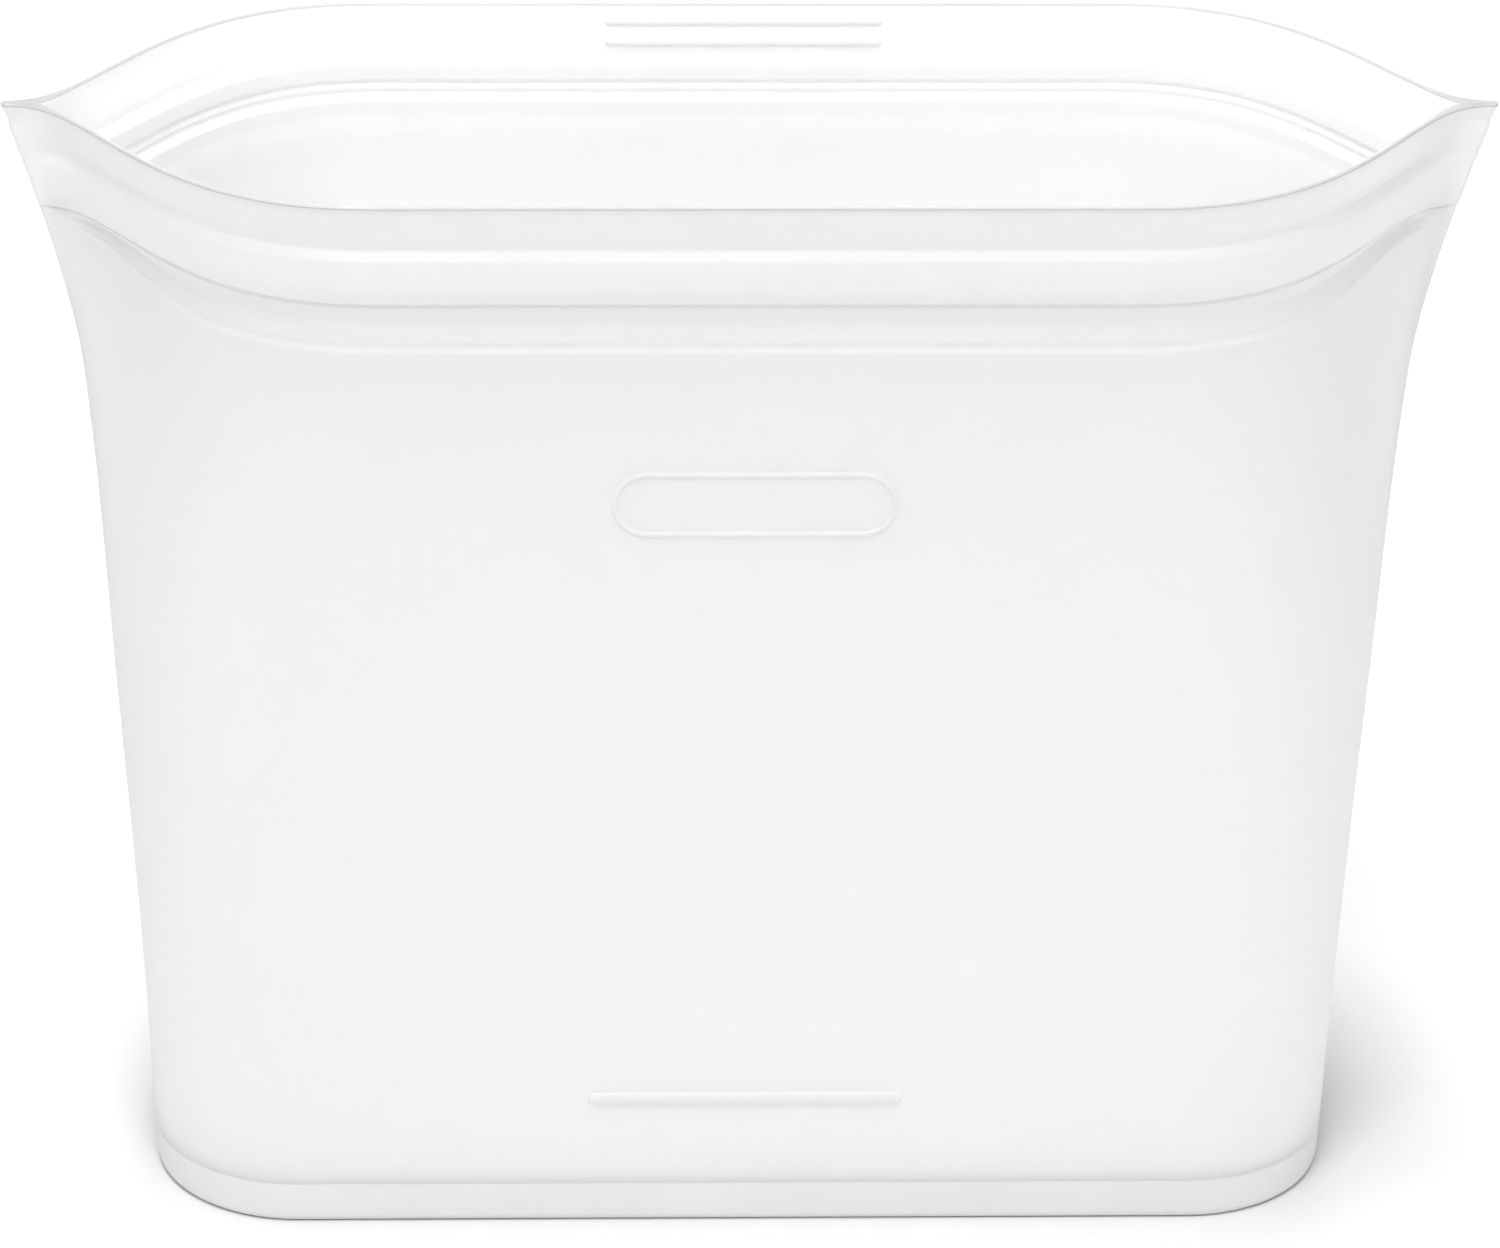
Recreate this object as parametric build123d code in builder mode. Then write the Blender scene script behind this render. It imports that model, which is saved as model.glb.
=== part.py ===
from build123d import *
import math
import os

# Reusable silicone bag: a stand-up food pouch with a press closure, moulded in one piece.
# Frame: +X across the bag, +Y to the back, +Z up, origin at the middle of the base's underside.
# The front and back walls swing shut about the edges of the base; the ends stay on the base.

# Driving sizes, in millimetres and degrees
TIP_HALF_WIDTH = 100.0  # middle of the bag to the point of a corner tip
RIM_HEIGHT = 155.0
RIM_HALF_DEPTH = 35.4  # middle of the open mouth to the rim
BASE_HALF_DEPTH = 28.0
BASE_HALF_WIDTH = 81.3
BASE_CORNER_RADIUS = 20.0
UNDERSIDE_INSET = 1.0  # the sides of the base lean in by this much at the underside
FLOOR_TOP_INSET = 0.6  # and by this much at the top of the floor
FLOOR = 1.6  # thickness of the base
WALL = 1.2
LIP_WALL = 1.0

FOLD_HEIGHT = 6.0  # the walls fold at this height, above the base's edge
FOLD_GAP = 0.5
MOVING_HALF_WIDTH = 58.0  # the straight middle stretch of each wall, which swings
SIDE_GAP = 0.4  # from a swinging wall to the ends

BODY_TOP = 133.0  # the closure starts here, with the neck
BODY_TOP_HALF_DEPTH = 32.4
NECK_DEPTH = 0.6  # how far the neck is drawn in
NECK_LOW_STEP = 1.6  # height over which the wall steps in to the neck
NECK_HIGH_STEP = 1.8  # and back out to the track
TRACK_BOTTOM = 139.4
TRACK_TOP = 149.3
FACE_MIDDLE_DEPTH = 31.9  # middle of the open mouth to the middle of a closure face
CLOSED_FACE = 1.0  # each closure face's distance from the middle when shut
RAIL_STAND = 1.4
RAIL_TALL = 2.6
BEAD_STAND = 1.6
BEAD_TALL = 2.6
GROOVE_TALL = 3.4
CLOSURE_HALF_LENGTH = 57.0

LABEL_HEIGHT = 111.0
LABEL_LONG, LABEL_TALL = 38.0, 9.5
LABEL_LINE = 0.8
MEASURE_HEIGHT = 19.5
MEASURE_LONG, MEASURE_TALL = 43.0, 1.3
MARK_STAND = 0.4  # how far the raised marks stand out of the wall
GRIP_LONG, GRIP_TALL, GRIP_STAND = 38.0, 1.3, 0.5
GRIP_SPACING = 3.1

# Shape of the plan's curve from the straight middle of a wall to the end of the bag
CORNER_HANDLE = 0.45  # the base corner's curve handles, as a share of its radius
RIM_STRAIGHT = 0.508  # the rest are shares of the half width, for the rim's pointed oval
RIM_SHOULDER = 0.822
RIM_HOLLOW = 0.87
TIP_HALF_DEPTH = 0.9  # half the thickness of a corner tip at its point
TIP_WALL_SHARE = 0.4  # the pocket narrows by this share of the wall at the point

# Worked-out sizes
FOLD_DEPTH = BASE_HALF_DEPTH - WALL / 2  # the fold runs in the middle of the wall
FACE_MIDDLE_HEIGHT = (TRACK_BOTTOM + TRACK_TOP) / 2
ARM_LENGTH = math.hypot(FACE_MIDDLE_DEPTH - FOLD_DEPTH, FACE_MIDDLE_HEIGHT - FOLD_HEIGHT)
CLOSING_ANGLE = math.degrees(
    math.asin((FOLD_DEPTH - CLOSED_FACE) / ARM_LENGTH)
    + math.asin((FACE_MIDDLE_DEPTH - FOLD_DEPTH) / ARM_LENGTH)
)
FACE_LEAN = math.tan(math.radians(CLOSING_ANGLE))  # the closure faces are upright when shut


class Level:
    """The bag's outer plan at one height: a point of 0 is a rounded rectangle, 1 the rim's pointed oval."""

    def __init__(self, height, half_depth, half_width, point):
        self.height = height
        self.half_depth = half_depth
        self.half_width = half_width
        self.point = point


UNDERSIDE = Level(0, BASE_HALF_DEPTH - UNDERSIDE_INSET, BASE_HALF_WIDTH - UNDERSIDE_INSET, 0)
FLOOR_TOP = Level(FLOOR, BASE_HALF_DEPTH - FLOOR_TOP_INSET, BASE_HALF_WIDTH - FLOOR_TOP_INSET, 0)
FOLD = Level(FOLD_HEIGHT, BASE_HALF_DEPTH, BASE_HALF_WIDTH, 0)
WAIST = Level(70, 31.4, 85.6, 0.25)
SHOULDER = Level(118, BODY_TOP_HALF_DEPTH, 89.4, 0.7)
BODY_END = Level(BODY_TOP, BODY_TOP_HALF_DEPTH, 92.9, 0.9)
NECK_LOW = Level(BODY_TOP + NECK_LOW_STEP, BODY_TOP_HALF_DEPTH - NECK_DEPTH, 93.4, 0.92)
NECK_HIGH = Level(TRACK_BOTTOM - NECK_HIGH_STEP, BODY_TOP_HALF_DEPTH - NECK_DEPTH, 94.3, 0.94)
TRACK_LOW = Level(TRACK_BOTTOM, 32.8, 95.0, 0.95)
TRACK_BULGE = Level(145.0, 34.6, 96.6, 0.97)
TRACK_HIGH = Level(TRACK_TOP, 34.2, 98.0, 0.98)
RIM = Level(RIM_HEIGHT, RIM_HALF_DEPTH, TIP_HALF_WIDTH, 1)

TIP_ROOT_LOW = 92.0  # where a corner tip starts, at the foot of the neck
TIP_ROOT_HIGH = 96.6  # and at the rim
POCKET_PAST_TIP = 0.5  # the pocket's corners run this far into the tips, which parts the two walls


def between(base, rim, point):
    """A size part of the way from its value at the base to its value at the rim."""
    return base + (rim - base) * point


def tip_root(height):
    """How far out the solid corner tip starts at one height."""
    share = (height - BODY_TOP) / (RIM_HEIGHT - BODY_TOP)
    return between(TIP_ROOT_LOW, TIP_ROOT_HIGH, share)


def plan(level, wall=0.0, width=None):
    """The bag's closed plan at one level, moved in by the wall, with its half width stated if it differs."""
    depth = level.half_depth - wall
    end = (level.half_width - wall) if width is None else width
    radius = BASE_CORNER_RADIUS - wall
    handle = radius * CORNER_HANDLE
    straight = between(end - radius, end * RIM_STRAIGHT, level.point)
    shoulder = between(end - handle, end * RIM_SHOULDER, level.point)
    corner = (between(end, end * RIM_HOLLOW, level.point), between(depth - handle, 0, level.point))
    rim_tip = TIP_HALF_DEPTH - wall * TIP_WALL_SHARE
    tip_half = between(BASE_HALF_DEPTH - BASE_CORNER_RADIUS, rim_tip, level.point)
    with BuildSketch(Plane.XY.offset(level.height)) as outline:
        with BuildLine():
            Line((0, -depth), (straight, -depth))
            Bezier((straight, -depth), (shoulder, -depth), (corner[0], -corner[1]), (end, -tip_half))
            Line((end, -tip_half), (end, 0))
            mirror(about=Plane.XZ)
            mirror(about=Plane.YZ)
        make_face()
    return outline.sketch


def no_tip(level, wall):
    """The pocket's half width where the walls run on round the end of the bag."""
    return level.half_width - wall


def pocket_to_tip(level, wall):
    """The pocket's half width where a solid tip closes the end of the bag."""
    return tip_root(level.height) + POCKET_PAST_TIP


def wall_ring(levels, wall, pocket_width=no_tip):
    """A ring of wall through the levels."""
    with BuildPart() as ring:
        loft([plan(level) for level in levels], ruled=True)
        pocket = [plan(level, wall, pocket_width(level, wall)) for level in levels]
        loft(pocket, ruled=True, mode=Mode.SUBTRACT)
    return ring.part


def side_plane(side):
    """The upright plane between the swinging walls and one end of the bag, facing outward."""
    return Plane(origin=(side * (MOVING_HALF_WIDTH + SIDE_GAP), 0, 0), z_dir=(side, 0, 0))


def tip_plane(side):
    """The slanted plane between the walls and a corner tip, facing outward."""
    slope = (TIP_ROOT_HIGH - TIP_ROOT_LOW) / (RIM_HEIGHT - BODY_TOP)
    return Plane(
        origin=(side * TIP_ROOT_LOW, 0, BODY_TOP),
        x_dir=(0, 1, 0),
        z_dir=(side, 0, -slope),
    )


def face_depth(height):
    """Depth of the closure's inner face, which leans so that it is upright when the mouth is shut."""
    return FACE_MIDDLE_DEPTH + (height - FACE_MIDDLE_HEIGHT) * FACE_LEAN


def write(part, name):
    part.label = name
    export_step(part, f"parts/{name}.step")


os.makedirs("parts", exist_ok=True)

# Base floor: the flat oval that the bag stands on
with BuildPart() as base_floor:
    loft([plan(UNDERSIDE), plan(FLOOR_TOP)], ruled=True)
write(base_floor.part, "base_floor")

# Ends: the walls, closure and lip beyond the swinging walls, and the solid corner tips
for side, name in ((-1, "left"), (1, "right")):
    with BuildPart() as end_wall:
        add(wall_ring((FLOOR_TOP, FOLD, WAIST, SHOULDER, BODY_END), WALL))
        split(bisect_by=side_plane(side), keep=Keep.TOP)
    write(end_wall.part, f"{name}_end_wall")

    with BuildPart() as neck_end:
        add(wall_ring((BODY_END, NECK_LOW, NECK_HIGH, TRACK_LOW), WALL, pocket_to_tip))
        split(bisect_by=tip_plane(side), keep=Keep.BOTTOM)
        split(bisect_by=side_plane(side), keep=Keep.TOP)
    write(neck_end.part, f"{name}_neck_end")

    with BuildPart() as track_end:
        add(wall_ring((TRACK_LOW, TRACK_BULGE, TRACK_HIGH), WALL + RAIL_STAND / 2, pocket_to_tip))
        split(bisect_by=tip_plane(side), keep=Keep.BOTTOM)
        split(bisect_by=side_plane(side), keep=Keep.TOP)
    write(track_end.part, f"{name}_track_end")

    with BuildPart() as lip_end:
        add(wall_ring((TRACK_HIGH, RIM), LIP_WALL, pocket_to_tip))
        split(bisect_by=tip_plane(side), keep=Keep.BOTTOM)
        split(bisect_by=side_plane(side), keep=Keep.TOP)
    write(lip_end.part, f"{name}_lip_end")

    with BuildPart() as corner_tip:
        levels = (BODY_END, NECK_LOW, NECK_HIGH, TRACK_LOW, TRACK_BULGE, TRACK_HIGH, RIM)
        loft([plan(level) for level in levels], ruled=True)
        split(bisect_by=tip_plane(side), keep=Keep.TOP)
        split(bisect_by=side_plane(side), keep=Keep.TOP)
    write(corner_tip.part, f"{name}_corner_tip")

# Front and back: each a base edge, and above the fold a swinging wall with its closure
for side, name in ((-1, "front"), (1, "back")):
    profile_plane = Plane.YZ.offset(-MOVING_HALF_WIDTH)
    length = 2 * MOVING_HALF_WIDTH

    with BuildPart() as base_edge:
        with BuildSketch(Plane.YZ.offset(-MOVING_HALF_WIDTH - SIDE_GAP)):
            with BuildLine():
                Polyline(
                    (side * FLOOR_TOP.half_depth, FLOOR),
                    (side * BASE_HALF_DEPTH, FOLD_HEIGHT),
                    (side * (BASE_HALF_DEPTH - WALL), FOLD_HEIGHT),
                    (side * (FLOOR_TOP.half_depth - WALL), FLOOR),
                    close=True,
                )
            make_face()
        extrude(amount=length + 2 * SIDE_GAP)
    write(base_edge.part, f"base_{name}_edge")

    with BuildPart() as panel:
        with BuildSketch(profile_plane):
            with BuildLine():
                low = FOLD_HEIGHT + FOLD_GAP
                outer = ThreePointArc(
                    (side * BASE_HALF_DEPTH, low),
                    (side * WAIST.half_depth, WAIST.height),
                    (side * BODY_END.half_depth, BODY_TOP),
                )
                inner = ThreePointArc(
                    (side * (BASE_HALF_DEPTH - WALL), low),
                    (side * (WAIST.half_depth - WALL), WAIST.height),
                    (side * (BODY_END.half_depth - WALL), BODY_TOP),
                )
                Line(outer @ 0, inner @ 0)
                Line(outer @ 1, inner @ 1)
            make_face()
        extrude(amount=length)
    write(panel.part, f"{name}_panel")

    with BuildPart() as neck:
        with BuildSketch(profile_plane):
            with BuildLine():
                Polyline(
                    (side * BODY_END.half_depth, BODY_TOP),
                    (side * NECK_LOW.half_depth, NECK_LOW.height),
                    (side * NECK_HIGH.half_depth, NECK_HIGH.height),
                    (side * TRACK_LOW.half_depth, TRACK_BOTTOM),
                    (side * face_depth(TRACK_BOTTOM), TRACK_BOTTOM),
                    (side * (NECK_HIGH.half_depth - WALL), NECK_HIGH.height),
                    (side * (NECK_LOW.half_depth - WALL), NECK_LOW.height),
                    (side * (BODY_END.half_depth - WALL), BODY_TOP),
                    close=True,
                )
            make_face()
        extrude(amount=length)
    write(neck.part, f"{name}_neck")

    with BuildPart() as track:
        with BuildSketch(profile_plane):
            with BuildLine():
                bulge = ThreePointArc(
                    (side * TRACK_LOW.half_depth, TRACK_BOTTOM),
                    (side * TRACK_BULGE.half_depth, TRACK_BULGE.height),
                    (side * (face_depth(TRACK_TOP) + WALL), TRACK_TOP),
                )
                Polyline(
                    bulge @ 1,
                    (side * face_depth(TRACK_TOP), TRACK_TOP),
                    (side * face_depth(TRACK_BOTTOM), TRACK_BOTTOM),
                    bulge @ 0,
                )
            make_face()
        extrude(amount=length)
    write(track.part, f"{name}_track")

    with BuildPart() as lip:
        with BuildSketch(profile_plane):
            with BuildLine():
                Polyline(
                    (side * (face_depth(TRACK_TOP) + WALL), TRACK_TOP),
                    (side * RIM_HALF_DEPTH, RIM_HEIGHT),
                    (side * (RIM_HALF_DEPTH - LIP_WALL), RIM_HEIGHT),
                    (side * face_depth(TRACK_TOP), TRACK_TOP),
                    close=True,
                )
            make_face()
        extrude(amount=length)
    write(lip.part, f"{name}_lip")

# Seal bead: the rounded bar on the front closure face that presses into the back's groove
with BuildPart() as front_seal_bead:
    with BuildSketch(Plane.YZ.offset(-CLOSURE_HALF_LENGTH)):
        with BuildLine():
            bottom = FACE_MIDDLE_HEIGHT - BEAD_TALL / 2
            top = FACE_MIDDLE_HEIGHT + BEAD_TALL / 2
            root = Line((-face_depth(bottom), bottom), (-face_depth(top), top))
            ThreePointArc(
                root @ 0,
                (BEAD_STAND - FACE_MIDDLE_DEPTH, FACE_MIDDLE_HEIGHT),
                root @ 1,
            )
        make_face()
    extrude(amount=2 * CLOSURE_HALF_LENGTH)
write(front_seal_bead.part, "front_seal_bead")

# Back rails: the two bars above and below the groove that takes the bead
for name, middle in (
    ("back_upper_rail", FACE_MIDDLE_HEIGHT + (GROOVE_TALL + RAIL_TALL) / 2),
    ("back_lower_rail", FACE_MIDDLE_HEIGHT - (GROOVE_TALL + RAIL_TALL) / 2),
):
    with BuildPart() as rail:
        with BuildSketch(Plane.YZ.offset(-CLOSURE_HALF_LENGTH)):
            with BuildLine():
                bottom = middle - RAIL_TALL / 2
                top = middle + RAIL_TALL / 2
                root = Line((face_depth(bottom), bottom), (face_depth(top), top))
                ThreePointArc(root @ 0, (face_depth(middle) - RAIL_STAND, middle), root @ 1)
            make_face()
        extrude(amount=2 * CLOSURE_HALF_LENGTH)
    write(rail.part, name)

# Grip ribs: two raised bars inside the back lip, to pull it open by
with BuildPart() as grip_ribs:
    lip_lean = (RIM_HALF_DEPTH - LIP_WALL - face_depth(TRACK_TOP)) / (RIM_HEIGHT - TRACK_TOP)
    lip_middle = (TRACK_TOP + RIM_HEIGHT) / 2
    for rib in (-1, 1):
        middle = lip_middle + rib * GRIP_SPACING / 2
        bottom = middle - GRIP_TALL / 2
        top = middle + GRIP_TALL / 2
        bottom_depth = face_depth(TRACK_TOP) + (bottom - TRACK_TOP) * lip_lean
        top_depth = face_depth(TRACK_TOP) + (top - TRACK_TOP) * lip_lean
        with BuildSketch(Plane.YZ.offset(-GRIP_LONG / 2)):
            with BuildLine():
                root = Line((bottom_depth, bottom), (top_depth, top))
                crest = ((bottom_depth + top_depth) / 2 - GRIP_STAND, middle)
                ThreePointArc(root @ 0, crest, root @ 1)
            make_face()
    extrude(amount=GRIP_LONG)
write(grip_ribs.part, "grip_ribs")


def front_wall_skin():
    """A thin curved slab on the front wall's outer face, which the raised marks are cut from."""
    low = FOLD_HEIGHT + FOLD_GAP
    with BuildPart() as skin:
        with BuildSketch(Plane.YZ.offset(-MOVING_HALF_WIDTH)):
            with BuildLine():
                inner = ThreePointArc(
                    (-BASE_HALF_DEPTH, low),
                    (-WAIST.half_depth, WAIST.height),
                    (-BODY_END.half_depth, BODY_TOP),
                )
                outer = ThreePointArc(
                    (-BASE_HALF_DEPTH - MARK_STAND, low),
                    (-WAIST.half_depth - MARK_STAND, WAIST.height),
                    (-BODY_END.half_depth - MARK_STAND, BODY_TOP),
                )
                Line(outer @ 0, inner @ 0)
                Line(outer @ 1, inner @ 1)
            make_face()
        extrude(amount=2 * MOVING_HALF_WIDTH)
    return skin.part


# Label outline: a plain raised lozenge
with BuildPart() as label_outline:
    add(front_wall_skin())
    with BuildSketch(Plane.XZ.offset(BASE_HALF_DEPTH)):
        with Locations((0, LABEL_HEIGHT)):
            SlotOverall(LABEL_LONG, LABEL_TALL)
            SlotOverall(LABEL_LONG - 2 * LABEL_LINE, LABEL_TALL - 2 * LABEL_LINE, mode=Mode.SUBTRACT)
    extrude(amount=RIM_HALF_DEPTH - BASE_HALF_DEPTH, mode=Mode.INTERSECT)
write(label_outline.part, "label_outline")

# Measure line: one raised bar low on the front
with BuildPart() as measure_line:
    add(front_wall_skin())
    with BuildSketch(Plane.XZ.offset(BASE_HALF_DEPTH - WALL)):
        with Locations((0, MEASURE_HEIGHT)):
            Rectangle(MEASURE_LONG, MEASURE_TALL)
    extrude(amount=RIM_HALF_DEPTH - BASE_HALF_DEPTH, mode=Mode.INTERSECT)
write(measure_line.part, "measure_line")

print("closing angle", round(CLOSING_ANGLE, 3), "degrees about depth", FOLD_DEPTH, "height", FOLD_HEIGHT)
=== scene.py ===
import math

import bmesh
import bpy
import numpy as np
from mathutils import Matrix, Vector


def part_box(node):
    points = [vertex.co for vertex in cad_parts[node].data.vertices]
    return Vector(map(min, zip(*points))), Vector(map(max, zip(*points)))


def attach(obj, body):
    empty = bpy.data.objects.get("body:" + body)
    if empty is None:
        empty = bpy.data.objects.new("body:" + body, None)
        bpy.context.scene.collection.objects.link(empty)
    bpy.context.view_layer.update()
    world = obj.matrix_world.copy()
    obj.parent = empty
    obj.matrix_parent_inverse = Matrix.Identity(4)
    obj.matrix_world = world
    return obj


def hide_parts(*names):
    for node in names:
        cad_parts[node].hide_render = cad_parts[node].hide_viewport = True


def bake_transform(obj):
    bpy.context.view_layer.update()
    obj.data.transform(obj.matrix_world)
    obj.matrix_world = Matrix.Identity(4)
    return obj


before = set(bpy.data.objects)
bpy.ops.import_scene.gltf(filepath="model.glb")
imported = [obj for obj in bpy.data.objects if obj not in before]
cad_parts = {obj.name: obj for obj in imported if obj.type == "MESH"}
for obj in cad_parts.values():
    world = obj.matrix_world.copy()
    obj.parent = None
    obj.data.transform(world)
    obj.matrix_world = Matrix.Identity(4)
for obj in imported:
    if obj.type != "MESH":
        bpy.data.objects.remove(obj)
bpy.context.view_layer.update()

# A stand-up silicone bag with a press closure. The front and back are one skin each, from the fold above
# the base to the rim. Sizes are in millimetres until they go into a mesh.
MM = 0.001

# Sizes read from the frame
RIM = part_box("front_lip")[1].z / MM
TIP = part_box("right_corner_tip")[1].x / MM
RIM_DEPTH = -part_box("front_lip")[0].y / MM
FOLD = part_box("base_front_edge")[1].z / MM
BASE_DEPTH = -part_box("base_front_edge")[0].y / MM
NECK_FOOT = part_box("front_panel")[1].z / MM
TRACK_LOW, TRACK_HIGH = (corner.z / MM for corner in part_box("front_track"))
TRACK_MIDDLE = (TRACK_LOW + TRACK_HIGH) / 2

# The silicone's thickness
WALL = 1.2
LIP_WALL = 0.8
FLOOR_THICK = 1.6
RIM_EDGE = 0.4  # painted shade: the rim's rounded top takes a darker grey colour down to this depth, for how it looks greyer seen end on

SIDES = {"front": -1, "back": 1}


# Curves

def eased(t):
    """0 to 1 with level ends."""
    t = np.clip(t, 0, 1)
    return t * t * (3 - 2 * t)


def fade(start, stop):
    """1 out to start and 0 from stop, by distance from the bag's middle."""
    return lambda x: 1 - eased((x - start) / (stop - start))


def full(x):
    """No fading."""
    return np.ones_like(x)


def through(x, xs, ys):
    """A smooth curve through the points that never overshoots them."""
    xs, ys = np.asarray(xs, float), np.asarray(ys, float)
    steps = np.diff(xs)
    rises = np.diff(ys) / steps
    slopes = np.zeros(len(xs))
    slopes[0], slopes[-1] = rises[0], rises[-1]
    for i in range(1, len(xs) - 1):
        if rises[i - 1] * rises[i] > 0:
            a, b = 2 * steps[i] + steps[i - 1], steps[i] + 2 * steps[i - 1]
            slopes[i] = (a + b) / (a / rises[i - 1] + b / rises[i])
    x = np.clip(np.asarray(x, float), xs[0], xs[-1])
    i = np.clip(np.searchsorted(xs, x, side="right") - 1, 0, len(xs) - 2)
    h = steps[i]
    t = (x - xs[i]) / h
    return (
        (2 * t**3 - 3 * t**2 + 1) * ys[i]
        + (t**3 - 2 * t**2 + t) * h * slopes[i]
        + (3 * t**2 - 2 * t**3) * ys[i + 1]
        + (t**3 - t**2) * h * slopes[i + 1]
    )


def bezier(corners, count):
    """Points along a cubic Bezier curve, without its last one."""
    p = np.asarray(corners, float)
    t = np.linspace(0, 1, count, endpoint=False)[:, None]
    return (1 - t) ** 3 * p[0] + 3 * (1 - t) ** 2 * t * p[1] + 3 * (1 - t) * t**2 * p[2] + t**3 * p[3]


ARC_STEP = math.radians(11)
ARC_ROOM = 0.49  # an arc takes up at most this share of the line on each side of it
LONGEST_STEP = 1.2


def filleted(corners, start, end):
    """Points along a line from start to end that rounds each corner, close together on the arcs."""
    knots = [np.array(start, float)] + [np.array(c[:2], float) for c in corners] + [np.array(end, float)]
    points = [knots[0]]
    for i, (_, _, radius) in enumerate(corners):
        before, here, after = knots[i], knots[i + 1], knots[i + 2]
        back, ahead = before - here, after - here
        room = min(np.linalg.norm(back), np.linalg.norm(ahead)) * ARC_ROOM
        back, ahead = back / np.linalg.norm(back), ahead / np.linalg.norm(ahead)
        half = math.acos(np.clip(back @ ahead, -1, 1)) / 2
        reach = min(radius / math.tan(half), room)
        middle = here + (back + ahead) / np.linalg.norm(back + ahead) * reach / math.cos(half)
        a, b = here + back * reach - middle, here + ahead * reach - middle
        turn = math.atan2(a[0] * b[1] - a[1] * b[0], a @ b)
        count = max(3, math.ceil(abs(turn) / ARC_STEP) + 1)
        for angle in np.linspace(0, turn, count):
            c, d = math.cos(angle), math.sin(angle)
            points.append(middle + np.array([c * a[0] - d * a[1], d * a[0] + c * a[1]]))
    points.append(knots[-1])
    spaced = [points[0]]
    for point in points[1:]:
        steps = max(1, math.ceil(np.linalg.norm(point - spaced[-1]) / LONGEST_STEP))
        spaced += [spaced[-1] + (point - spaced[-1]) * k / steps for k in range(1, steps + 1)]
    return spaced


# The bag's plan at a few heights: its half depth, its half width, and its point, which is 0 for a rounded
# rectangle and 1 for the rim's pointed oval
HEIGHTS = (0, FOLD, 70, 118, NECK_FOOT, 145, RIM)
DEPTHS = (29.1, 29.0, 31.6, 32.5, 32.8, 33.8, RIM_DEPTH)
WIDTHS = (81.2, 81.4, 85.6, 89.4, 92.9, 96.6, TIP)
POINTS = (0, 0, 0.25, 0.7, 0.9, 0.97, 1)
CORNER = 20  # radius of the base's corners in plan
HANDLE = 0.45  # a round corner's curve handles, as a share of its size
RIM_STRAIGHT, RIM_SHOULDER, RIM_HOLLOW = 0.508, 0.822, 0.87  # where the oval bends, by its half width
TIP_HALF = 0.9  # half the thickness of a corner tip

MIDDLE_POINTS, WALL_POINTS, END_POINTS = 60, 400, 80
COLUMNS = ((0.5, 24), (0.94, 66), (1, 26))  # shares of the outline's length, and the columns up to each


def nominal(height):
    """The nominal half depth of the bag's middle at one height."""
    return float(through(height, HEIGHTS, DEPTHS))


def quarter_plan(height):
    """The nominal outer outline of a quarter of the bag at one height, from the middle of a wall to the end
    line. Returns the points, as distances from the middle planes, and their outward directions."""
    depth = nominal(height)
    width = float(through(height, HEIGHTS, WIDTHS))
    point = float(through(height, HEIGHTS, POINTS))

    def mix(base, rim):
        return base + (rim - base) * point

    handle = CORNER * HANDLE
    straight = mix(width - CORNER, width * RIM_STRAIGHT)
    tip_half = mix(BASE_DEPTH - CORNER, TIP_HALF)
    nose = mix(0, TIP_HALF)
    shoulder = np.array([mix(width - handle, width * RIM_SHOULDER), depth])
    hollow = np.array([mix(width, width * RIM_HOLLOW), mix(depth - handle, 0)])
    corner = np.array([width - nose, tip_half])
    heading = (corner - hollow) / np.linalg.norm(corner - hollow)
    reach = HANDLE * math.hypot(nose, tip_half)
    middle = np.linspace((0, depth), (straight, depth), MIDDLE_POINTS, endpoint=False)
    bend = bezier([(straight, depth), shoulder, hollow, corner], WALL_POINTS)
    end = bezier([corner, corner + heading * reach, (width, tip_half * HANDLE), (width, 0)], END_POINTS)
    points = np.concatenate([middle, bend, end, [(width, 0)]])
    ahead = np.gradient(points, axis=0)
    ahead[-1] = (0, -1)
    ahead /= np.linalg.norm(ahead, axis=1)[:, None]
    outward = np.stack([-ahead[:, 1], ahead[:, 0]], 1)
    return points, outward


def share_of_length():
    """Where the skin's columns lie along the outline: even on the walls, and close together at the ends."""
    shares, start = [], 0
    for stop, count in COLUMNS:
        shares.append(np.linspace(start, stop, count, endpoint=stop == 1))
        start = stop
    return np.concatenate(shares)


SHARES = share_of_length()


def outline(height, offset):
    """The quarter outline at one height, moved out by offset(x), and cut where it meets the middle plane."""
    points, outward = quarter_plan(height)
    moved = points + outward * offset(points[:, 0])[:, None]
    crossed = np.nonzero(moved[:, 1] <= 0)[0]
    last = crossed[0] if len(crossed) else len(moved) - 1
    a, b = moved[last - 1], moved[last]
    cut = a + (b - a) * (a[1] / max(a[1] - b[1], 1e-9))
    kept = np.concatenate([moved[:last], [(cut[0], 0)]])
    along = np.concatenate([[0], np.cumsum(np.linalg.norm(np.diff(kept, axis=0), axis=1))])
    where = SHARES * along[-1]
    return np.stack([np.interp(where, along, kept[:, 0]), np.interp(where, along, kept[:, 1])], 1)


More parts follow.
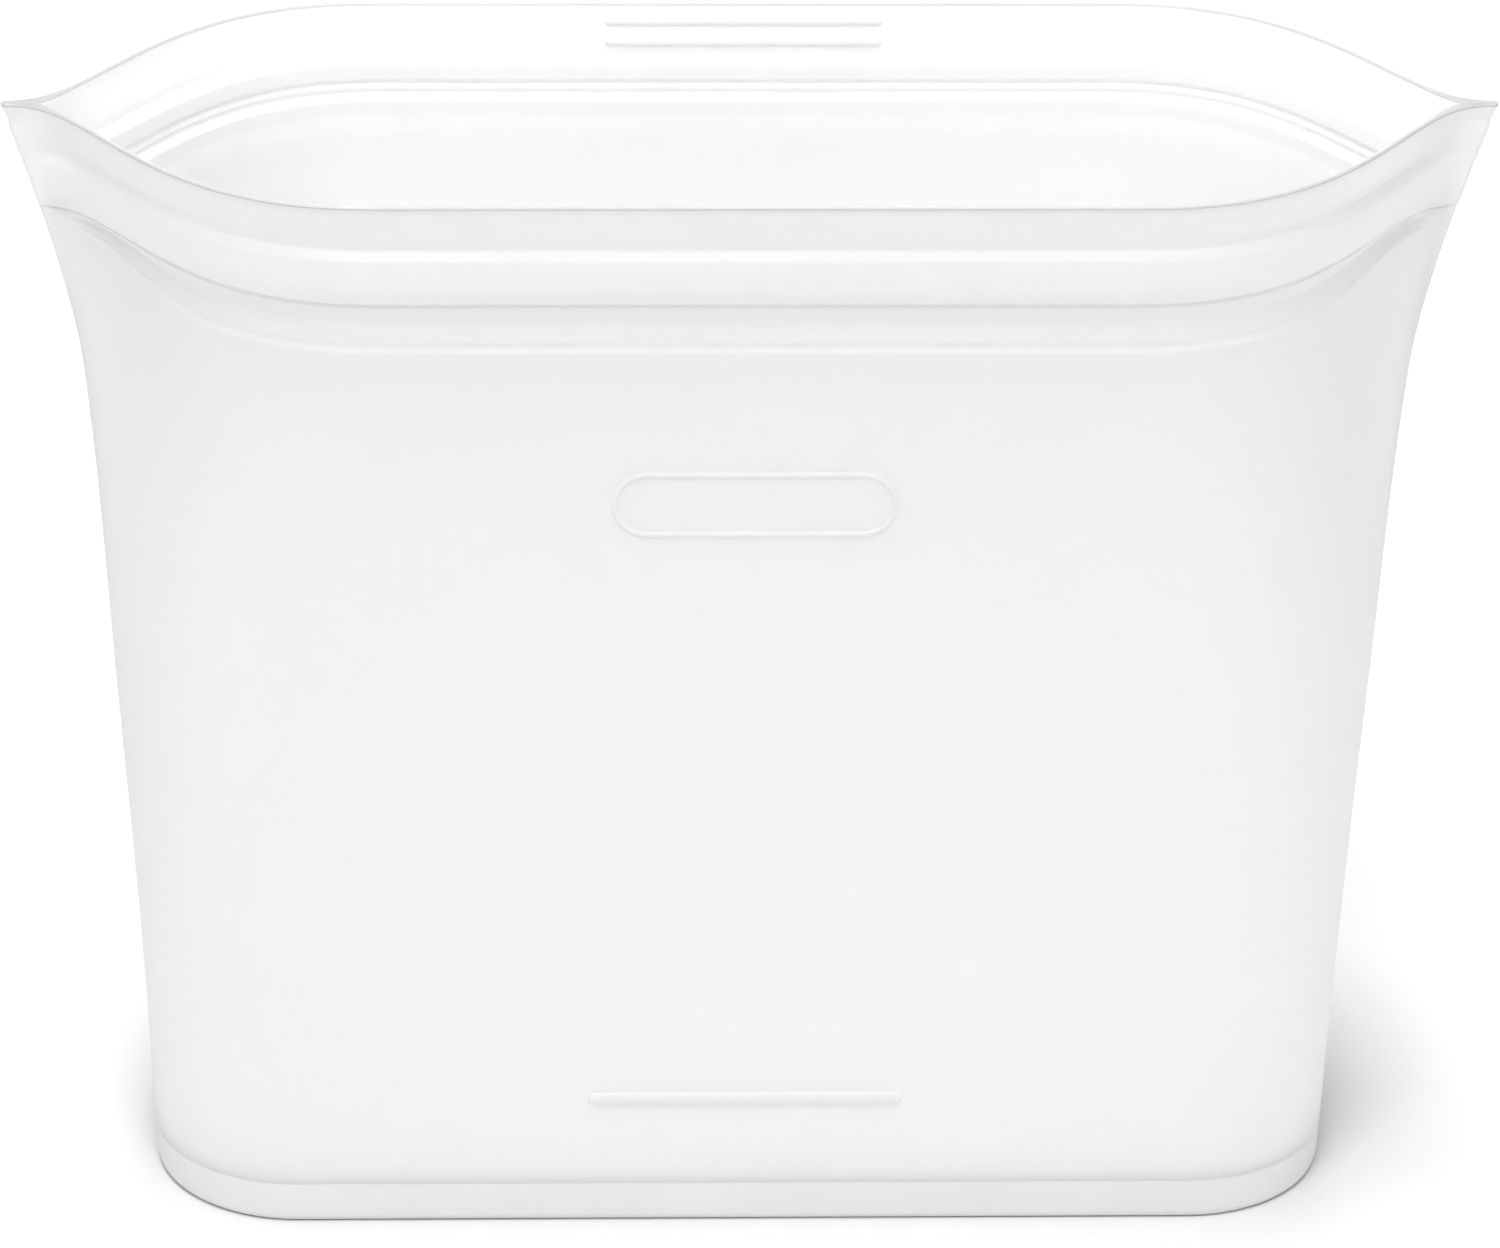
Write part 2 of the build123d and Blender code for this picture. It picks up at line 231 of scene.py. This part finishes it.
# The wall's section at the middle of the bag, as corners: distance from the middle plane, height, and the
# corner's radius. First the outer face above the body, from the shoulder to the rim.
OUTER_CORNERS = (
    (33.15, NECK_FOOT + 0.2, 0.4),
    (32.7, NECK_FOOT + 0.9, 0.3),
    (32.85, NECK_FOOT + 1.8, 0.5),
    (32.6, NECK_FOOT + 3.4, 1.0),
    (32.55, NECK_FOOT + 4.6, 0.8),
    (33.35, NECK_FOOT + 6.8, 0.25),
    (33.1, TRACK_LOW + 0.9, 0.15),
    (33.9, TRACK_LOW + 1.4, 0.3),
    (34.7, TRACK_LOW + 3.4, 4.0),
    (34.7, TRACK_LOW + 6.0, 2.0),
    (34.6, TRACK_LOW + 7.5, 0.5),
    (33.5, TRACK_LOW + 8.8, 0.6),
    (RIM_DEPTH, RIM, 0.37),
)
# Then the inner face, down from the rim
LIP_INSIDE = (
    (RIM_DEPTH - LIP_WALL, RIM, 0.37),
    (32.9, RIM - 5.6, 2.5),
)
RAILS_INSIDE = (
    (32.8, TRACK_MIDDLE + 4.1, 0.7),
    (31.75, TRACK_MIDDLE + 2.8, 0.7),
    (31.65, TRACK_MIDDLE + 0.55, 0.4),
    (32.2, TRACK_MIDDLE + 0.3, 0.2),
    (32.2, TRACK_MIDDLE - 0.05, 0.2),
    (31.8, TRACK_MIDDLE - 0.4, 0.3),
    (31.75, TRACK_MIDDLE - 0.85, 0.3),
    (32.0, TRACK_MIDDLE - 1.1, 0.2),
    (31.95, TRACK_MIDDLE - 1.5, 0.2),
    (31.05, TRACK_MIDDLE - 2.3, 0.4),
    (31.35, TRACK_MIDDLE - 4.4, 0.3),
)
BEAD_INSIDE = (
    (32.4, TRACK_MIDDLE + 1.5, 0.4),
    (30.5, TRACK_MIDDLE + 0.9, 0.6),
    (30.5, TRACK_MIDDLE - 0.9, 0.6),
    (31.6, TRACK_MIDDLE - 1.5, 0.4),
    (31.3, TRACK_MIDDLE - 5.0, 1.2),
)
NECK_INSIDE = (
    (31.3, NECK_FOOT + 4.4, 1.5),
    (31.35, NECK_FOOT + 2.0, 3.0),
)
CLOSURE_INSIDE = {"front": BEAD_INSIDE, "back": RAILS_INSIDE}

BODY_STOP = NECK_FOOT - 3  # the outer face follows the nominal outline below this height
INNER_STOP = NECK_FOOT - 13  # and the inner face below this one
NECK_TOP = TRACK_LOW + 0.9
LIP_FOOT = TRACK_HIGH + 3  # the silicone has the lip's thickness above this height

# How each feature fades towards the ends
TRACK_FADE = fade(90.5, 96.5)
RAIL_FADE = fade(86, 94)
NECK_FADE = fade(87.5, 91.5)
NECK_LEVEL = fade(72, 90)  # the neck's lower edge is level out to the first distance
NECK_RISE = 4.6  # and it rises by this much
NECK_DEEPENS = 1.7  # as the neck gets this much deeper

TIP_FILL = 1.3  # how much thicker the silicone gets in the corner tips, which are solid
TIP_FILL_FADE = fade(89, 99)
TIP_FILL_FOOT = INNER_STOP - 30  # the tips' filling starts at this height

BODY_LINES, NECK_LINES, INNER_LINES = 60, 80, 52
AT_RIM = 0.01  # a point this close to the rim's height lies on it


class Station:
    """One line of the wall's section: a height, how far out of the nominal outline it lies, and how much
    further a feature takes it, which fades out towards the ends. An inner line also draws back from a solid
    tip."""

    def __init__(self, height, base, feature=0.0, fading=full, tip_fill=0.0):
        self.height = height
        self.base = base
        self.feature = feature
        self.fading = fading
        self.tip_fill = tip_fill

    def offset(self, x):
        return self.base + self.feature * self.fading(x) - self.tip_fill * (1 - TIP_FILL_FADE(x))


class NeckStation(Station):
    """A line of the outer face in the neck. Towards the ends the neck's lower edge rises and the neck gets
    deeper, until it closes to a point."""

    def __init__(self, height, heights, sizes):
        super().__init__(height, 0)
        self.heights = heights
        self.sizes = sizes

    def offset(self, x):
        tall = NECK_TOP - NECK_FOOT
        raised = tall - NECK_RISE * (1 - NECK_LEVEL(x))
        unraised = NECK_TOP - (NECK_TOP - self.height) * tall / raised
        deeper = NECK_DEEPENS + (1 - NECK_DEEPENS) * NECK_LEVEL(x)
        return np.interp(unraised, self.heights, self.sizes) * deeper * NECK_FADE(x)


def neck_stations(section):
    """The stations of the neck, from the part of the section that lies in it."""
    heights = [height for _, height in section]
    sizes = [depth - nominal(height) for depth, height in section]
    lines = np.linspace(BODY_STOP, NECK_TOP, NECK_LINES)
    return [NeckStation(height, heights, sizes) for height in lines]


def feature_station(depth, height, within):
    """The station of one point of the section above the neck, or within the bag."""
    in_lip = height > LIP_FOOT
    base = (-LIP_WALL if in_lip else -WALL) if within else 0
    fading = full if in_lip else RAIL_FADE if within else TRACK_FADE
    return Station(height, base, depth - nominal(height) - base, fading, TIP_FILL if within else 0)


def wall_profile(side):
    """The stations round one wall's section: up the outer face, over the rim and down the inner face."""
    inside = LIP_INSIDE + CLOSURE_INSIDE[side] + NECK_INSIDE
    start = (nominal(BODY_STOP), BODY_STOP)
    end = (nominal(INNER_STOP) - WALL, INNER_STOP)
    section = filleted(OUTER_CORNERS + inside, start, end)
    neck_end = next(i for i, (_, height) in enumerate(section) if height > NECK_TOP)
    made = [Station(height, 0) for height in np.linspace(FOLD, BODY_STOP, BODY_LINES, endpoint=False)]
    made += neck_stations(section[: neck_end + 1])
    within = False
    for depth, height in section[neck_end:]:
        within = within or (height > RIM - AT_RIM and depth < RIM_DEPTH - LIP_WALL / 2)
        made.append(feature_station(depth, height, within))
    for height in np.linspace(INNER_STOP, FOLD, INNER_LINES)[1:]:
        share = eased((height - TIP_FILL_FOOT) / (INNER_STOP - TIP_FILL_FOOT))
        made.append(Station(height, -WALL, tip_fill=TIP_FILL * float(share)))
    return made


# Materials

NOISE_RANGE = (0.3, 0.7)  # where nearly all of the noise's values lie
DULL_PATCHES, CLOUDS, GRAIN = 55, 45, 2600  # lumps per metre
ROUGHNESS = (0.36, 0.48)
CLOUD_SPREAD = 0.025
GRAIN_DEPTH = 0.03
GRAIN_STRENGTH = 0.35
SILICONE_IOR = 1.41
GLOW_PALER = 0.01  # the light that passes through is this much paler than the skin
SOLID_FROM, SOLID_BY = 87, 96  # the silicone turns solid between these distances from the bag's middle


def texture_noise(tree, scale, detail):
    """Soft three-dimensional noise, with its scale in lumps per metre."""
    place = tree.nodes.new("ShaderNodeTexCoord")
    noise = tree.nodes.new("ShaderNodeTexNoise")
    noise.inputs["Scale"].default_value = scale
    noise.inputs["Detail"].default_value = detail
    tree.links.new(place.outputs["Object"], noise.inputs["Vector"])
    return noise.outputs["Fac"]


def ranged(tree, value, source, target, smooth=False):
    """A value carried from one range to another."""
    spread = tree.nodes.new("ShaderNodeMapRange")
    if smooth:
        spread.interpolation_type = "SMOOTHSTEP"
    spread.inputs["From Min"].default_value = source[0]
    spread.inputs["From Max"].default_value = source[1]
    spread.inputs["To Min"].default_value = target[0]
    spread.inputs["To Max"].default_value = target[1]
    tree.links.new(value, spread.inputs["Value"])
    return spread.outputs["Result"]


def thinness(tree, solid_share):
    """1 over most of the bag, easing to a smaller share in the corner tips, where the silicone is solid."""
    place = tree.nodes.new("ShaderNodeTexCoord")
    parts = tree.nodes.new("ShaderNodeSeparateXYZ")
    tree.links.new(place.outputs["Object"], parts.inputs[0])
    distance = tree.nodes.new("ShaderNodeMath")
    distance.operation = "ABSOLUTE"
    tree.links.new(parts.outputs["X"], distance.inputs[0])
    solid_range = (SOLID_FROM * MM, SOLID_BY * MM)
    return ranged(tree, distance.outputs[0], solid_range, (1, solid_share), smooth=True)


def product(tree, a, b):
    times = tree.nodes.new("ShaderNodeMath")
    times.operation = "MULTIPLY"
    tree.links.new(a, times.inputs[0])
    tree.links.new(b, times.inputs[1])
    return times.outputs[0]


def silicone_material(name, passing, tone=0.965, solid_share=1.0):
    """Frosted translucent silicone: a satin skin with a fine moulded grain, patches that are a little duller,
    and a cloudy body that passes part of the light on, and less of it where the silicone is solid."""
    material = bpy.data.materials.new(name)
    material.use_nodes = True
    tree = material.node_tree
    tree.nodes.clear()
    out = tree.nodes.new("ShaderNodeOutputMaterial")
    shell = tree.nodes.new("ShaderNodeBsdfPrincipled")
    shell.inputs["Base Color"].default_value = (tone, tone, tone, 1)
    shell.inputs["IOR"].default_value = SILICONE_IOR
    patches = ranged(tree, texture_noise(tree, DULL_PATCHES, 4), NOISE_RANGE, ROUGHNESS)
    tree.links.new(patches, shell.inputs["Roughness"])
    glow = tree.nodes.new("ShaderNodeBsdfTranslucent")
    glow_tone = tone + GLOW_PALER
    glow.inputs["Color"].default_value = (glow_tone, glow_tone, glow_tone, 1)
    grain = tree.nodes.new("ShaderNodeBump")
    grain.inputs["Strength"].default_value = GRAIN_STRENGTH
    grain.inputs["Distance"].default_value = GRAIN_DEPTH * MM
    tree.links.new(texture_noise(tree, GRAIN, 3), grain.inputs["Height"])
    tree.links.new(grain.outputs["Normal"], shell.inputs["Normal"])
    mix = tree.nodes.new("ShaderNodeMixShader")
    passed = (passing - CLOUD_SPREAD, passing + CLOUD_SPREAD)
    cloud = ranged(tree, texture_noise(tree, CLOUDS, 5), NOISE_RANGE, passed)
    if solid_share < 1:
        cloud = product(tree, cloud, thinness(tree, solid_share))
    tree.links.new(cloud, mix.inputs["Fac"])
    tree.links.new(shell.outputs[0], mix.inputs[1])
    tree.links.new(glow.outputs[0], mix.inputs[2])
    tree.links.new(mix.outputs[0], out.inputs["Surface"])
    return material


# Wall skins

END_ZONES = ("end_wall", "neck_end", "track_end", "lip_end", "corner_tip")
REPLACED_ENDS = [f"{hand}_{zone}" for hand in ("left", "right") for zone in END_ZONES]
INNER_BARS = {"front": ["front_seal_bead"], "back": ["back_upper_rail", "back_lower_rail"]}


def new_mesh(name, bm, *materials, smooth_angle=50):
    """A piece made from a mesh, shaded smooth but for edges sharper than an angle in degrees."""
    bmesh.ops.recalc_face_normals(bm, faces=bm.faces)
    mesh = bpy.data.meshes.new(name)
    bm.to_mesh(mesh)
    bm.free()
    for polygon in mesh.polygons:
        polygon.use_smooth = True
    mesh.set_sharp_from_angle(angle=math.radians(smooth_angle))
    for material in materials:
        mesh.materials.append(material)
    piece = bpy.data.objects.new(name, mesh)
    bpy.context.scene.collection.objects.link(piece)
    return piece


def wall_skin(side, material, rim_painted_shade):
    """The front or back half of the bag's skin above the fold. Its right half is built and mirrored, so that
    the wall is one piece from end line to end line, with its cut faces at the middle plane and the fold. The
    rounded top of the rim takes the darker rim material, which is painted shade."""
    profile = wall_profile(side)
    bm = bmesh.new()
    grid = []
    for station in profile:
        plan = outline(station.height, station.offset)
        grid.append([bm.verts.new((x * MM, SIDES[side] * y * MM, station.height * MM)) for x, y in plan])
    for i in range(len(grid)):
        following = (i + 1) % len(grid)
        a, b = grid[i], grid[following]
        # faces on the rim's rounded top take the darker rim material: painted shade
        on_rim = min(profile[i].height, profile[following].height) > RIM - RIM_EDGE
        for j in range(len(SHARES) - 1):
            face = bm.faces.new((a[j], a[j + 1], b[j + 1], b[j]))
            face.material_index = int(on_rim)
    bm.faces.new([row[-1] for row in grid])
    piece = new_mesh(f"{side}_skin", bm, material, rim_painted_shade)
    mirror = piece.modifiers.new("left_half", "MIRROR")
    mirror.merge_threshold = 0.001 * MM
    return piece


def bending_wall(side, material, rim_painted_shade):
    """One wall's skin, built in place; the CAD nodes of its wall, of the bag's ends and of its closure's
    inner bars are hidden.
    """
    piece = wall_skin(side, material, rim_painted_shade)
    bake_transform(piece)
    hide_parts(*[f"{side}_{zone}" for zone in ("panel", "neck", "track", "lip")])
    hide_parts(*REPLACED_ENDS, *INNER_BARS[side])


# Base

CUP_ROUND = 1.2  # radius of the base's lower edge
CUP_LEAN = 0.15  # the base's side leans in by this much above it
CUP_INNER_ROUND = 2.8
CUP_ROUND_LINES, CUP_SIDE_LINES, CUP_INNER_LINES = 10, 9, 9


def cup_profile():
    """The stations of the base's section, up its outside from the floor and down its inside."""
    made = []
    for angle in np.linspace(0, math.pi / 2, CUP_ROUND_LINES):
        height = CUP_ROUND * (1 - math.cos(angle))
        made.append(Station(height, -CUP_LEAN - CUP_ROUND * (1 - math.sin(angle))))
    for height in np.linspace(CUP_ROUND, FOLD, CUP_SIDE_LINES + 1, endpoint=False)[1:]:
        made.append(Station(height, -CUP_LEAN * (FOLD - height) / (FOLD - CUP_ROUND)))
    made += [Station(FOLD, 0.0), Station(FOLD, -WALL)]
    for angle in np.linspace(math.pi / 2, 0, CUP_INNER_LINES):
        height = FLOOR_THICK + CUP_INNER_ROUND * (1 - math.cos(angle))
        made.append(Station(height, -WALL - CUP_INNER_ROUND * (1 - math.sin(angle))))
    return made


def whole_ring(bm, station):
    """A closed ring of vertices round the whole bag, from the middle of the front to the right."""
    plan = outline(station.height, station.offset)
    ring = []
    for right, back, order in ((1, -1, 1), (1, 1, -1), (-1, 1, 1), (-1, -1, -1)):
        for x, y in plan[::order][:-1]:
            ring.append(bm.verts.new((right * x * MM, back * y * MM, station.height * MM)))
    return ring


def fill_across(bm, ring):
    """Strips across the bag, from the front half of a ring to its back half."""
    count = len(ring)
    quarter = len(SHARES) - 1
    right_front = ring[0 : quarter + 1]
    right_back = [ring[2 * quarter - j] for j in range(quarter + 1)]
    left_back = ring[2 * quarter : 3 * quarter + 1]
    left_front = [ring[(4 * quarter - j) % count] for j in range(quarter + 1)]
    for near, far in ((right_front, right_back), (left_front, left_back)):
        for j in range(quarter):
            corners = list(dict.fromkeys((near[j], near[j + 1], far[j + 1], far[j])))
            if len(corners) > 2:
                bm.faces.new(corners)


def base_cup(material):
    """The flat base below the fold, inside and out."""
    bm = bmesh.new()
    rings = [whole_ring(bm, station) for station in cup_profile()]
    count = len(rings[0])
    for a, b in zip(rings, rings[1:]):
        for j in range(count):
            k = (j + 1) % count
            bm.faces.new((a[j], a[k], b[k], b[j]))
    fill_across(bm, rings[0])
    fill_across(bm, rings[-1])
    cup = new_mesh("base_cup", bm, material)
    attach(cup, "pouch")
    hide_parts("base_floor", "base_front_edge", "base_back_edge")


# Raised marks and ribs

RING_POINTS = 24
BAR_END_POINTS, BAR_POINTS, LABEL_END_POINTS = 9, 12, 40
SLOPE_STEP = 0.1  # a wall's slope is taken over this height
BLUNT_END = 0.02  # a raised line's rounded ends shrink to this share of its section
LABEL_LINE, LABEL_STAND = 0.8, 0.32
MEASURE_WIDE, MEASURE_STAND = 1.9, 0.6
GRIP_WIDE, GRIP_STAND = 1.35, 0.45
GRIP_DROPS = {"grip_upper": 2.3, "grip_lower": 5.0}  # below the rim


def swept(name, path, outs, wide, stand, closed, material):
    """A raised line with an elliptical section, half sunk in the wall. An open line's ends are rounded."""
    path, outs = [np.asarray(v, float) for v in (path, outs)]
    if closed:
        ahead = np.roll(path, -1, axis=0) - np.roll(path, 1, axis=0)
        shrink = np.ones(len(path))
    else:
        ahead = np.gradient(path, axis=0)
        along = np.concatenate([[0], np.cumsum(np.linalg.norm(np.diff(path, axis=0), axis=1))])
        to_end = np.minimum(along, along[-1] - along)
        inset = 1 - np.clip(to_end / (wide / 2), 0, 1)
        shrink = np.sqrt(np.clip(1 - inset**2, BLUNT_END**2, 1))
    ahead /= np.linalg.norm(ahead, axis=1)[:, None]
    across = np.cross(outs, ahead)
    bm = bmesh.new()
    turns = np.linspace(0, 2 * math.pi, RING_POINTS, endpoint=False)
    loops = []
    for point, out, aside, size in zip(path, outs, across, shrink):
        ring = [
            point + aside * math.cos(t) * wide / 2 * size + out * math.sin(t) * stand * size
            for t in turns
        ]
        loops.append([bm.verts.new(v * MM) for v in ring])
    pairs = list(zip(loops, loops[1:])) + ([(loops[-1], loops[0])] if closed else [])
    for a, b in pairs:
        for j in range(RING_POINTS):
            k = (j + 1) % RING_POINTS
            bm.faces.new((a[j], a[k], b[k], b[j]))
    if not closed:
        bm.faces.new(loops[0])
        bm.faces.new(loops[-1])
    return new_mesh(name, bm, material)


def on_wall(side, x, z, depths):
    """A point on a wall's flat middle and the direction out of the bag there."""
    depth, above = depths(z), depths(z + SLOPE_STEP)
    out = np.array([0, SIDES[side], -(above - depth) / SLOPE_STEP])
    return (x, SIDES[side] * depth, z), out / np.linalg.norm(out)


def bar(name, side, height, half_length, wide, stand, depths, material, inward=False):
    """A straight raised bar across a wall's middle."""
    ends = half_length - wide / 2 * (1 - np.cos(np.linspace(0, math.pi / 2, BAR_END_POINTS)))
    xs = np.concatenate([-ends, np.linspace(-ends[-1], ends[-1], BAR_POINTS)[1:-1], ends[::-1]])
    placed = [on_wall(side, x, height, depths) for x in xs]
    outs = [-out if inward else out for _, out in placed]
    return swept(name, [point for point, _ in placed], outs, wide, stand, False, material)


def finish_mark(piece, body, node_name):
    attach(piece, body)
    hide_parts(node_name)


def mark_place(node_name):
    """The middle height and half the length and height of a mark's CAD node."""
    low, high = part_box(node_name)
    return (low.z + high.z) / 2 / MM, (high.x - low.x) / 2 / MM, (high.z - low.z) / 2 / MM


def label(material):
    """A plain raised pill-shaped outline on the front wall."""
    middle, half_long, half_tall = mark_place("label_outline")
    radius = half_tall - LABEL_LINE / 2
    centre = half_long - half_tall
    points = []
    for sign in (1, -1):
        for angle in np.linspace(-math.pi / 2, math.pi / 2, LABEL_END_POINTS):
            x, z = centre + radius * math.cos(angle), radius * math.sin(angle)
            points.append((sign * x, sign * z))
    placed = [on_wall("front", x, middle + z, nominal) for x, z in points]
    path, outs = zip(*placed)
    piece = swept("label", path, outs, LABEL_LINE, LABEL_STAND, True, material)
    finish_mark(piece, "front_wall", "label_outline")


def measure(material):
    """The measure line across the front wall."""
    middle, half_long, _ = mark_place("measure_line")
    piece = bar("measure", "front", middle, half_long, MEASURE_WIDE, MEASURE_STAND, nominal, material)
    finish_mark(piece, "front_wall", "measure_line")


def lip_inside(height):
    """The inner lip's distance from the middle plane."""
    (high_depth, high, _), (low_depth, low, _) = LIP_INSIDE
    return low_depth + (high_depth - low_depth) * (height - low) / (high - low)


def grips(material):
    """Two low ribs inside the back lip, for a thumb to pull the mouth open by."""
    _, half_long, _ = mark_place("grip_ribs")
    for name, drop in GRIP_DROPS.items():
        piece = bar(
            name, "back", RIM - drop, half_long, GRIP_WIDE, GRIP_STAND, lip_inside, material, inward=True
        )
        finish_mark(piece, "back_wall", "grip_ribs")


# Stage, lights and camera, in metres

FLOOR_HALF = 3.0
FLOOR_TONE = 0.78
FLOOR_ROUGHNESS = 0.8


def pale_floor():
    mesh = bpy.data.meshes.new("floor")
    corners = [(x * FLOOR_HALF, y * FLOOR_HALF, 0) for x, y in ((-1, -1), (1, -1), (1, 1), (-1, 1))]
    mesh.from_pydata(corners, [], [(0, 1, 2, 3)])
    floor = bpy.data.objects.new("floor", mesh)
    bpy.context.scene.collection.objects.link(floor)
    material = bpy.data.materials.new("pale_floor")
    material.use_nodes = True
    shader = material.node_tree.nodes["Principled BSDF"]
    shader.inputs["Base Color"].default_value = (FLOOR_TONE, FLOOR_TONE, FLOOR_TONE, 1)
    shader.inputs["Roughness"].default_value = FLOOR_ROUGHNESS
    mesh.materials.append(material)


def area_light(name, place, target, size, power):
    data = bpy.data.lights.new(name, "AREA")
    data.shape = "DISK"
    data.size = size
    data.energy = power
    light = bpy.data.objects.new(name, data)
    light.location = place
    light.rotation_mode = "QUATERNION"
    light.rotation_quaternion = (Vector(target) - Vector(place)).to_track_quat("-Z", "Y")
    bpy.context.scene.collection.objects.link(light)


def soft_sky(strength):
    world = bpy.data.worlds.new("studio")
    world.use_nodes = True
    background = world.node_tree.nodes["Background"]
    background.inputs["Color"].default_value = (1, 1, 1, 1)
    background.inputs["Strength"].default_value = strength
    bpy.context.scene.world = world


def studio_lights():
    """A high key in front, a top light into the mouth, a low light on each side, and a low one behind the
    bag that glows through it."""
    middle = (0, 0, 0.08)
    soft_sky(0.27)
    area_light("key", (-0.12, -0.75, 1.5), middle, size=0.8, power=16.8)
    area_light("top", (-0.08, 0.02, 1.7), (0, 0, 0.06), size=0.5, power=17)
    area_light("left", (-1.2, -0.4, 0.3), middle, size=0.6, power=1.7)
    area_light("right", (1.2, -0.4, 0.3), middle, size=0.6, power=2.4)
    area_light("back", (0.05, 0.8, 0.06), (0, 0, 0.06), size=0.5, power=5.4)


def long_lens_camera():
    """A long lens in front of the bag, a little to its left and above it, with a slight roll."""
    distance = 1.2102
    elevation, azimuth, roll = math.radians(26.22), math.radians(2.27), math.radians(0.88)
    target = Vector((0.84, 0, 77.48)) * MM
    level = math.cos(elevation)
    back = Vector((-math.sin(azimuth) * level, -math.cos(azimuth) * level, math.sin(elevation)))
    right = (-back).cross(Vector((0, 0, 1))).normalized()
    up = right.cross(-back)
    rolled_right = right * math.cos(roll) + up * math.sin(roll)
    rolled_up = up * math.cos(roll) - right * math.sin(roll)
    data = bpy.data.cameras.new("camera")
    data.sensor_width = 36
    data.lens = 211.86
    camera = bpy.data.objects.new("camera", data)
    matrix = Matrix((rolled_right, rolled_up, back)).transposed().to_4x4()
    matrix.translation = target + back * distance
    camera.matrix_world = matrix
    bpy.context.scene.collection.objects.link(camera)
    bpy.context.scene.camera = camera


silicone = silicone_material("frosted_silicone", 0.5, solid_share=0.25)
thick_silicone = silicone_material("thick_silicone", 0.14, tone=0.93)
# painted shade: a darker grey for the rim's rounded top, which looks greyer seen end on
rim_painted_shade_silicone = silicone_material("rim_painted_shade_silicone", 0.2, tone=0.6)

for side in SIDES:
    bending_wall(side, silicone, rim_painted_shade_silicone)
base_cup(thick_silicone)
label(silicone)
measure(silicone)
grips(silicone)

pale_floor()
studio_lights()
long_lens_camera()
bpy.context.scene.view_settings.view_transform = "Standard"
